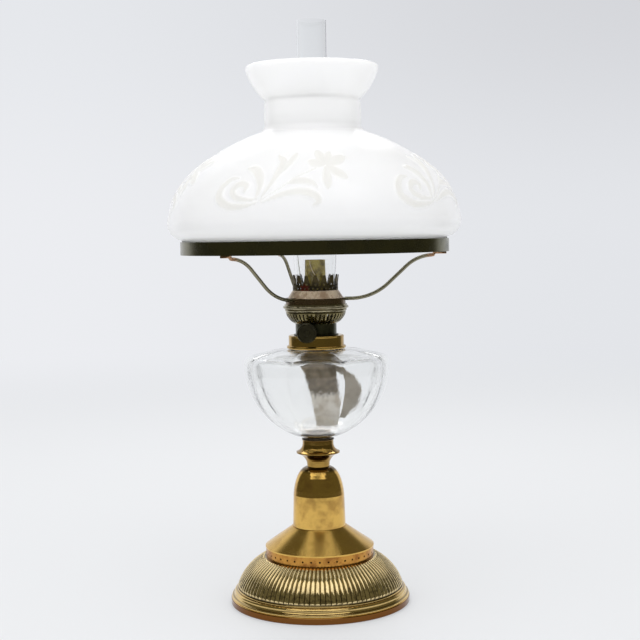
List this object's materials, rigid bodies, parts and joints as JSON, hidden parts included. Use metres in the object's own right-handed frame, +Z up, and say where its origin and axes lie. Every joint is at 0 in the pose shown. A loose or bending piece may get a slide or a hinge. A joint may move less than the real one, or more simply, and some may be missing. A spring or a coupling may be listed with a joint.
{
  "type": "kerosene table lamp",
  "caption": "Kerosene table lamp: gadrooned brass foot and stem, lobed clear glass font, round-wick burner with winder knob, glass chimney, and opal shade on a bent-arm carrier.",
  "frame": {"origin": "on the table, under the middle of the foot", "axes": "+Z up the lamp; the winder knob is at the front, towards -Y and a little to -X"},
  "size_m": [0.26, 0.26, 0.5169],
  "materials": {
    "foot_brass": "polished with age marks",
    "band_copper": "coppery satin",
    "weight_iron": "rough casting",
    "tie_steel": "plain",
    "font_glass": "clear pressed glass",
    "plaster": "matt plaster",
    "collar_bronze": "dark patina",
    "burner_bronze": "dark patina",
    "gallery_brass": "satin, worn",
    "crown_bronze": "sooted",
    "tube_brass": "satin",
    "knob_black": "blackened",
    "wick_cotton": "woven cotton",
    "chimney_glass": "clear blown glass",
    "carrier_metal": "dark olive patina",
    "opal_glass": "glossy opal glass"
  },
  "bodies": {
    "stand": {"foot_rim": "foot_brass", "gadrooned_dome": "foot_brass", "punched_band": "band_copper", "cone_shoulder": "foot_brass", "domed_stem": "foot_brass", "font_cup": "foot_brass", "tie_rod": "tie_steel", "tie_nut": "tie_steel", "tie_washer": "tie_steel", "base_weight": "weight_iron", "glass_font": "font_glass", "font_neck": "font_glass", "cup_plaster": "plaster", "font_collar": "collar_bronze", "collar_plaster": "plaster"},
    "burner": {"screw_cup": "burner_bronze", "air_basket": "burner_bronze", "basket_rim": "burner_bronze", "gallery": "gallery_brass", "gallery_crown": "crown_bronze", "wick_tube": "tube_brass", "draught_tube": "tube_brass", "spindle_bushes": "tube_brass"},
    "winder": {"winder_spindle": "burner_bronze", "spur_wheels": "tube_brass", "winder_knob": "knob_black"},
    "wick": {"wick_sleeve": "wick_cotton", "wick_tails": "wick_cotton"},
    "chimney": {"chimney": "chimney_glass"},
    "shade_carrier": {"carrier_ring": "carrier_metal", "carrier_arm_1": "carrier_metal", "carrier_arm_2": "carrier_metal", "carrier_arm_3": "carrier_metal", "shade_ring": "carrier_metal"},
    "shade": {"shade_fitter": "opal_glass", "shade_bowl": "opal_glass", "shade_dome": "opal_glass", "shade_neck": "opal_glass", "shade_flare": "opal_glass"}
  },
  "joints": [
    {"name": "burner_unscrew", "type": "hinge", "parent": "stand", "child": "burner", "pos_m": [0, 0, 0.2399], "axis": [0, 0, 1], "range_deg": [0, 900]},
    {"name": "winder_turn", "type": "hinge", "parent": "burner", "child": "winder", "pos_m": [-0.01171, -0.00144, 0.2435], "axis": [0.1219, -0.9925, 0], "range_deg": [-40, 140]},
    {"name": "wick_lift", "type": "slide", "parent": "burner", "child": "wick", "axis": [0, 0, 1], "range_m": [-0.00252, 0.0088]},
    {"name": "chimney_lift", "type": "slide", "parent": "burner", "child": "chimney", "axis": [0, 0, 1], "range_m": [0, 0.22]},
    {"name": "carrier_lift", "type": "slide", "parent": "burner", "child": "shade_carrier", "axis": [0, 0, 1], "range_m": [0, 0.26]},
    {"name": "shade_lift", "type": "slide", "parent": "shade_carrier", "child": "shade", "axis": [0, 0, 1], "range_m": [0, 0.21]}
  ],
  "couplings": [
    {"joint": "wick_lift", "follows": "winder_turn", "m_per_rad": 0.0036}
  ]
}
